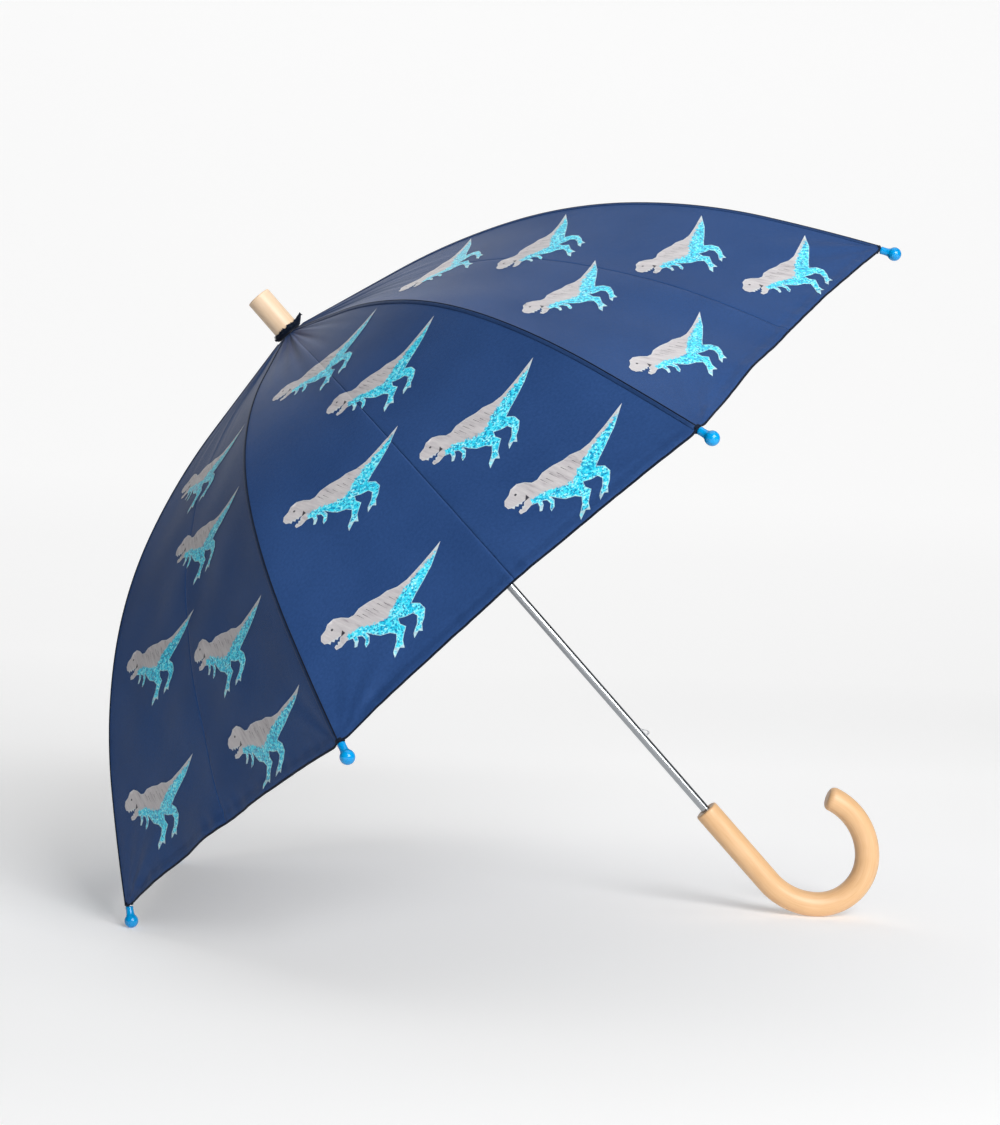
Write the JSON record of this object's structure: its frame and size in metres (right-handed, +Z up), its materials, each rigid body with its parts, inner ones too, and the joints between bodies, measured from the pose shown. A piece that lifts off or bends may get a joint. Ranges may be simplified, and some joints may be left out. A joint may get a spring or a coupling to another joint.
{
  "type": "children's umbrella",
  "caption": "Open child's stick umbrella with a printed cloth dome on a fluted folding frame, a crook handle of wood and a plain wooden ferrule.",
  "frame": {"origin": "on the floor under the middle of the umbrella as it lies open on its crook and two rib tips", "axes": "+Z up from the floor, +X towards the handle, +Y across the dome; the shaft leans in the XZ plane"},
  "size_m": [0.5682, 0.7032, 0.5162],
  "materials": {
    "canopy_cloth": "satin polyester, printed",
    "rosette_cloth": "pinked polyester",
    "strap_cloth": "satin polyester",
    "wood": "clear satin lacquer",
    "shaft_steel": "nickel plated",
    "steel": "plated spring steel",
    "snap_metal": "polished",
    "blue_tip": "glossy moulded",
    "black_plastic": "moulded"
  },
  "bodies": {
    "shaft": {"shaft_tube": "shaft_steel", "wooden_handle": "wood", "wooden_ferrule": "wood", "top_notch": "black_plastic", "notch_wire": "steel", "stop_pin": "steel", "inner_rosette": "rosette_cloth", "outer_rosette": "rosette_cloth"},
    "rib_1": {"rib_1": "steel", "rib_tip_1": "blue_tip", "stretcher_rivet_1": "steel", "canopy_panel_1": "canopy_cloth"},
    "stretcher_1": {"stretcher_1": "steel"},
    "rib_2": {"rib_2": "steel", "rib_tip_2": "blue_tip", "stretcher_rivet_2": "steel", "canopy_panel_2": "canopy_cloth"},
    "stretcher_2": {"stretcher_2": "steel"},
    "rib_3": {"rib_3": "steel", "rib_tip_3": "blue_tip", "stretcher_rivet_3": "steel", "canopy_panel_3": "canopy_cloth"},
    "stretcher_3": {"stretcher_3": "steel"},
    "rib_4": {"rib_4": "steel", "rib_tip_4": "blue_tip", "stretcher_rivet_4": "steel", "canopy_panel_4": "canopy_cloth"},
    "stretcher_4": {"stretcher_4": "steel"},
    "rib_5": {"rib_5": "steel", "rib_tip_5": "blue_tip", "stretcher_rivet_5": "steel", "canopy_panel_5": "canopy_cloth"},
    "stretcher_5": {"stretcher_5": "steel"},
    "rib_6": {"rib_6": "steel", "rib_tip_6": "blue_tip", "stretcher_rivet_6": "steel", "canopy_panel_6": "canopy_cloth"},
    "stretcher_6": {"stretcher_6": "steel"},
    "rib_7": {"rib_7": "steel", "rib_tip_7": "blue_tip", "stretcher_rivet_7": "steel", "canopy_panel_7": "canopy_cloth", "tie_strap": "strap_cloth", "strap_snaps": "snap_metal"},
    "stretcher_7": {"stretcher_7": "steel"},
    "rib_8": {"rib_8": "steel", "rib_tip_8": "blue_tip", "stretcher_rivet_8": "steel", "canopy_panel_8": "canopy_cloth"},
    "stretcher_8": {"stretcher_8": "steel"},
    "runner": {"runner": "black_plastic", "runner_wire": "steel"},
    "upper_catch": {"upper_catch_spring": "steel"},
    "lower_catch": {"lower_catch_spring": "steel"}
  },
  "joints": [
    {"name": "rib_1_fold", "type": "hinge", "parent": "shaft", "child": "rib_1", "pos_m": [-0.17924, -0.00249, 0.41517], "axis": [0.2771, -0.9239, 0.264], "range_deg": [0, 55], "deforming": ["canopy_panel_1"]},
    {"name": "stretcher_1_fold", "type": "hinge", "parent": "rib_1", "child": "stretcher_1", "pos_m": [-0.25985, -0.07016, 0.26293], "axis": [0.2771, -0.9239, 0.264], "range_deg": [-110, 0]},
    {"name": "rib_2_fold", "type": "hinge", "parent": "shaft", "child": "rib_2", "pos_m": [-0.17669, -0.006, 0.41759], "axis": [0.6689, -0.3827, 0.6373], "range_deg": [0, 55], "deforming": ["canopy_panel_2"]},
    {"name": "stretcher_2_fold", "type": "hinge", "parent": "rib_2", "child": "stretcher_2", "pos_m": [-0.18801, -0.16938, 0.33137], "axis": [0.6689, -0.3827, 0.6373], "range_deg": [-110, 0]},
    {"name": "rib_3_fold", "type": "hinge", "parent": "shaft", "child": "rib_3", "pos_m": [-0.17309, -0.006, 0.42102], "axis": [0.6689, 0.3827, 0.6373], "range_deg": [0, 55], "deforming": ["canopy_panel_3"]},
    {"name": "stretcher_3_fold", "type": "hinge", "parent": "rib_3", "child": "stretcher_3", "pos_m": [-0.08642, -0.16938, 0.42816], "axis": [0.6689, 0.3827, 0.6373], "range_deg": [-110, 0]},
    {"name": "rib_4_fold", "type": "hinge", "parent": "shaft", "child": "rib_4", "pos_m": [-0.17054, -0.00249, 0.42345], "axis": [0.2771, 0.9239, 0.264], "range_deg": [0, 55], "deforming": ["canopy_panel_4"]},
    {"name": "stretcher_4_fold", "type": "hinge", "parent": "rib_4", "child": "stretcher_4", "pos_m": [-0.01459, -0.07016, 0.4966], "axis": [0.2771, 0.9239, 0.264], "range_deg": [-110, 0]},
    {"name": "rib_5_fold", "type": "hinge", "parent": "shaft", "child": "rib_5", "pos_m": [-0.17054, 0.00249, 0.42345], "axis": [-0.2771, 0.9239, -0.264], "range_deg": [0, 55], "deforming": ["canopy_panel_5"]},
    {"name": "stretcher_5_fold", "type": "hinge", "parent": "rib_5", "child": "stretcher_5", "pos_m": [-0.01459, 0.07016, 0.4966], "axis": [-0.2771, 0.9239, -0.264], "range_deg": [-110, 0]},
    {"name": "rib_6_fold", "type": "hinge", "parent": "shaft", "child": "rib_6", "pos_m": [-0.17309, 0.006, 0.42102], "axis": [-0.6689, 0.3827, -0.6373], "range_deg": [0, 55], "deforming": ["canopy_panel_6"]},
    {"name": "stretcher_6_fold", "type": "hinge", "parent": "rib_6", "child": "stretcher_6", "pos_m": [-0.08642, 0.16938, 0.42816], "axis": [-0.6689, 0.3827, -0.6373], "range_deg": [-110, 0]},
    {"name": "rib_7_fold", "type": "hinge", "parent": "shaft", "child": "rib_7", "pos_m": [-0.17669, 0.006, 0.41759], "axis": [-0.6689, -0.3827, -0.6373], "range_deg": [0, 55], "deforming": ["canopy_panel_7", "tie_strap"]},
    {"name": "stretcher_7_fold", "type": "hinge", "parent": "rib_7", "child": "stretcher_7", "pos_m": [-0.18801, 0.16938, 0.33137], "axis": [-0.6689, -0.3827, -0.6373], "range_deg": [-110, 0]},
    {"name": "rib_8_fold", "type": "hinge", "parent": "shaft", "child": "rib_8", "pos_m": [-0.17924, 0.00249, 0.41517], "axis": [-0.2771, -0.9239, -0.264], "range_deg": [0, 55], "deforming": ["canopy_panel_8"]},
    {"name": "stretcher_8_fold", "type": "hinge", "parent": "rib_8", "child": "stretcher_8", "pos_m": [-0.25985, 0.07016, 0.26293], "axis": [-0.2771, -0.9239, -0.264], "range_deg": [-110, 0]},
    {"name": "runner_slide", "type": "slide", "parent": "shaft", "child": "runner", "axis": [0.6898, 0, -0.724], "range_m": [0, 0.24315], "deforming": ["upper_catch_spring", "lower_catch_spring"]},
    {"name": "upper_catch_press", "type": "slide", "parent": "shaft", "child": "upper_catch", "axis": [-0.724, 0, -0.6898], "range_m": [0, 0.0033], "stiffness_N_per_m": 400},
    {"name": "lower_catch_press", "type": "slide", "parent": "shaft", "child": "lower_catch", "axis": [-0.724, 0, -0.6898], "range_m": [0, 0.0033], "stiffness_N_per_m": 400}
  ],
  "couplings": [
    {"joint": "stretcher_1_fold", "follows": "rib_1_fold", "ratio": -2},
    {"joint": "rib_2_fold", "follows": "rib_1_fold", "ratio": 1},
    {"joint": "stretcher_2_fold", "follows": "rib_1_fold", "ratio": -2},
    {"joint": "rib_3_fold", "follows": "rib_1_fold", "ratio": 1},
    {"joint": "stretcher_3_fold", "follows": "rib_1_fold", "ratio": -2},
    {"joint": "rib_4_fold", "follows": "rib_1_fold", "ratio": 1},
    {"joint": "stretcher_4_fold", "follows": "rib_1_fold", "ratio": -2},
    {"joint": "rib_5_fold", "follows": "rib_1_fold", "ratio": 1},
    {"joint": "stretcher_5_fold", "follows": "rib_1_fold", "ratio": -2},
    {"joint": "rib_6_fold", "follows": "rib_1_fold", "ratio": 1},
    {"joint": "stretcher_6_fold", "follows": "rib_1_fold", "ratio": -2},
    {"joint": "rib_7_fold", "follows": "rib_1_fold", "ratio": 1},
    {"joint": "stretcher_7_fold", "follows": "rib_1_fold", "ratio": -2},
    {"joint": "rib_8_fold", "follows": "rib_1_fold", "ratio": 1},
    {"joint": "stretcher_8_fold", "follows": "rib_1_fold", "ratio": -2},
    {"joint": "runner_slide", "follows": "rib_1_fold", "m_per_rad": 0.25328}
  ]
}
